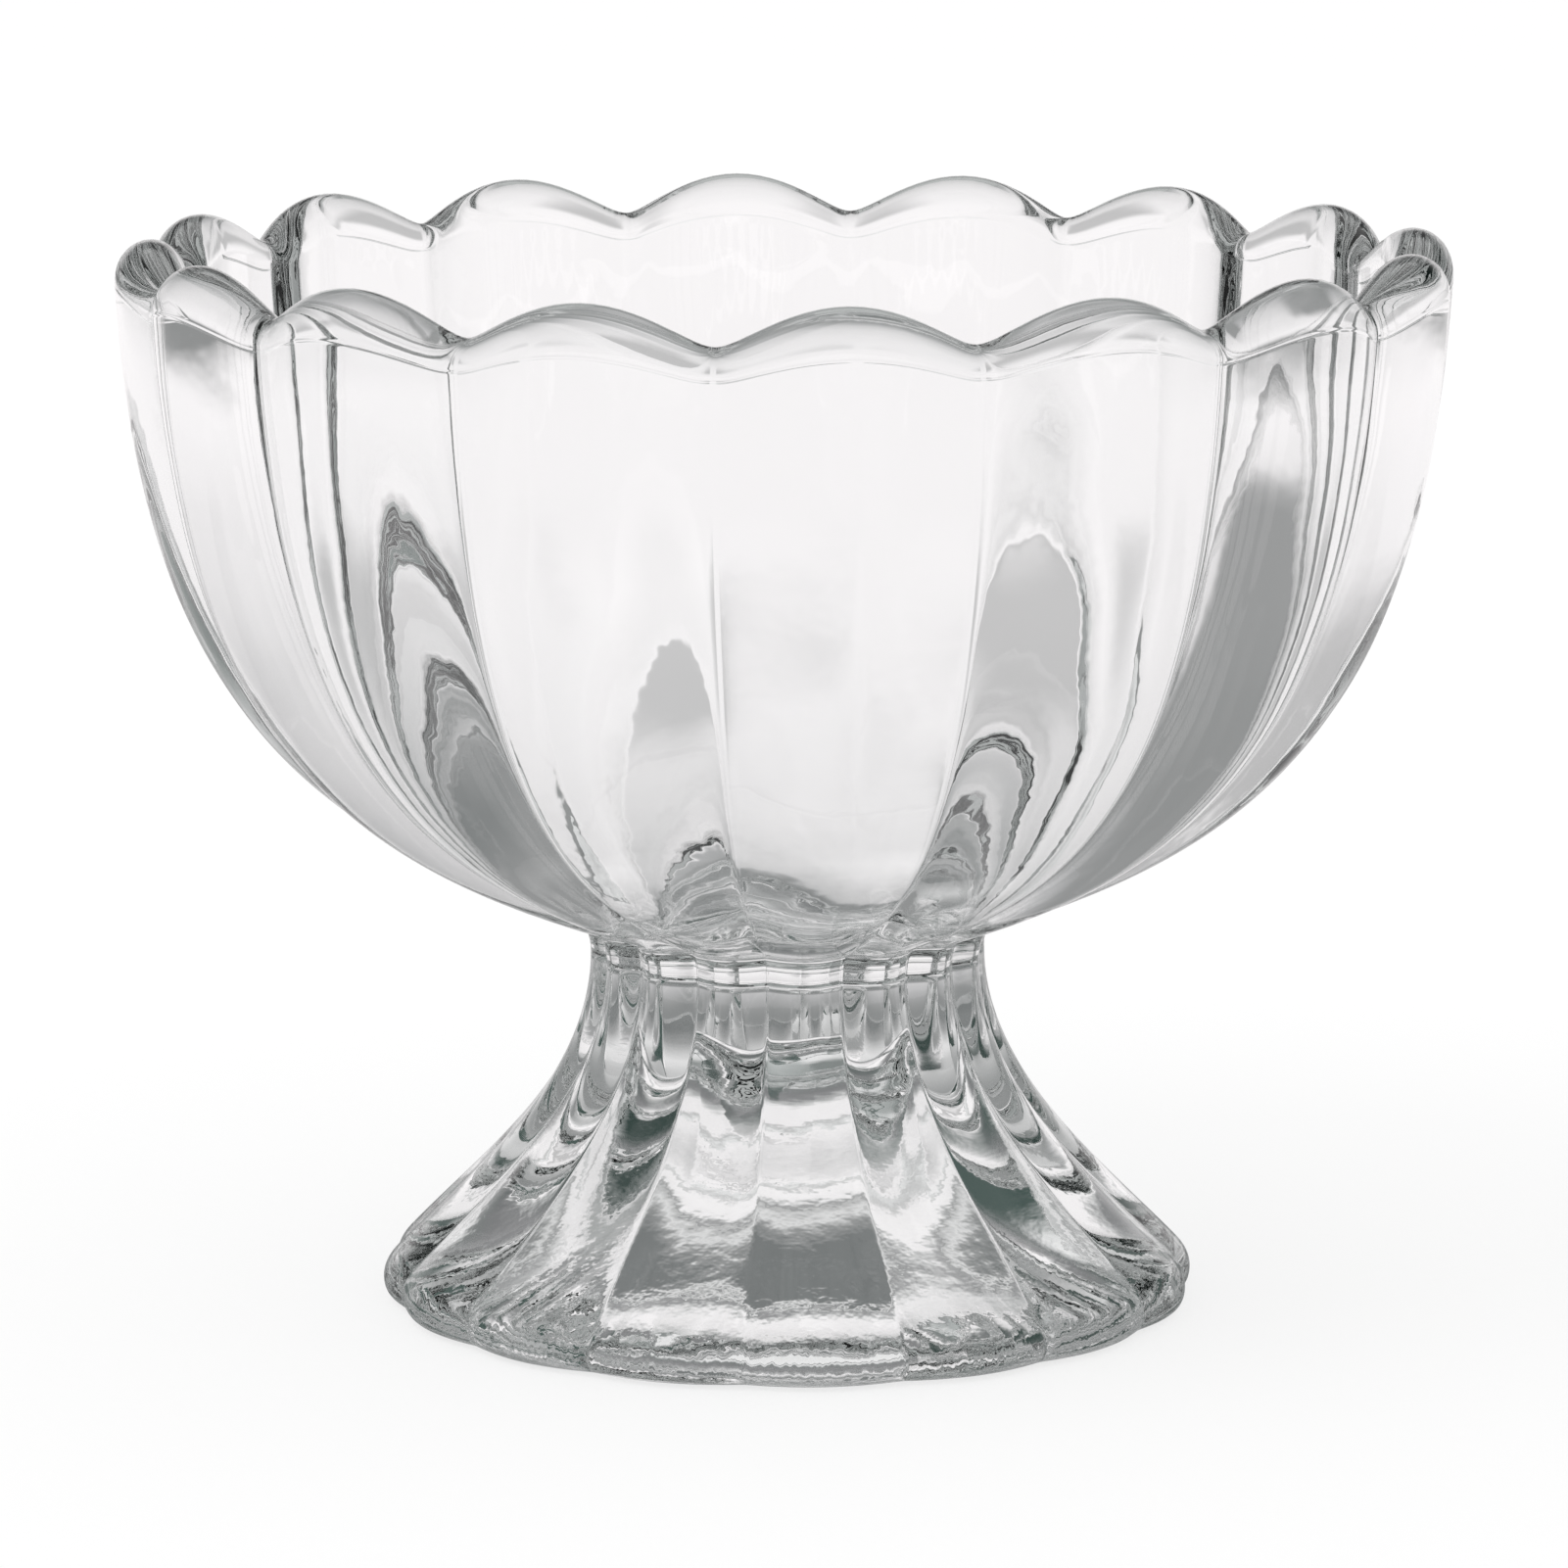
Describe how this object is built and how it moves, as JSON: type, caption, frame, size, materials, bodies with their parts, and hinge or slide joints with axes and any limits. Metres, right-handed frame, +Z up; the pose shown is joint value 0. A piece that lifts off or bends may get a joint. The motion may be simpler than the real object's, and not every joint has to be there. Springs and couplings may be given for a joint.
{
  "type": "dessert bowl",
  "caption": "Footed dessert bowl of clear pressed glass with rounded upright lobes, a scalloped rim and a fluted, flared hollow foot, for ice cream, fruit or pudding.",
  "frame": {"origin": "centre of the foot's underside, on the table", "axes": "+Z up along the bowl's axis; the middle of one lobe faces -Y"},
  "size_m": [0.0992, 0.0992, 0.08],
  "materials": {
    "glass": "fire-polished clear glass"
  },
  "bodies": {
    "root": {"bowl": "glass", "foot": "glass"}
  },
  "joints": []
}
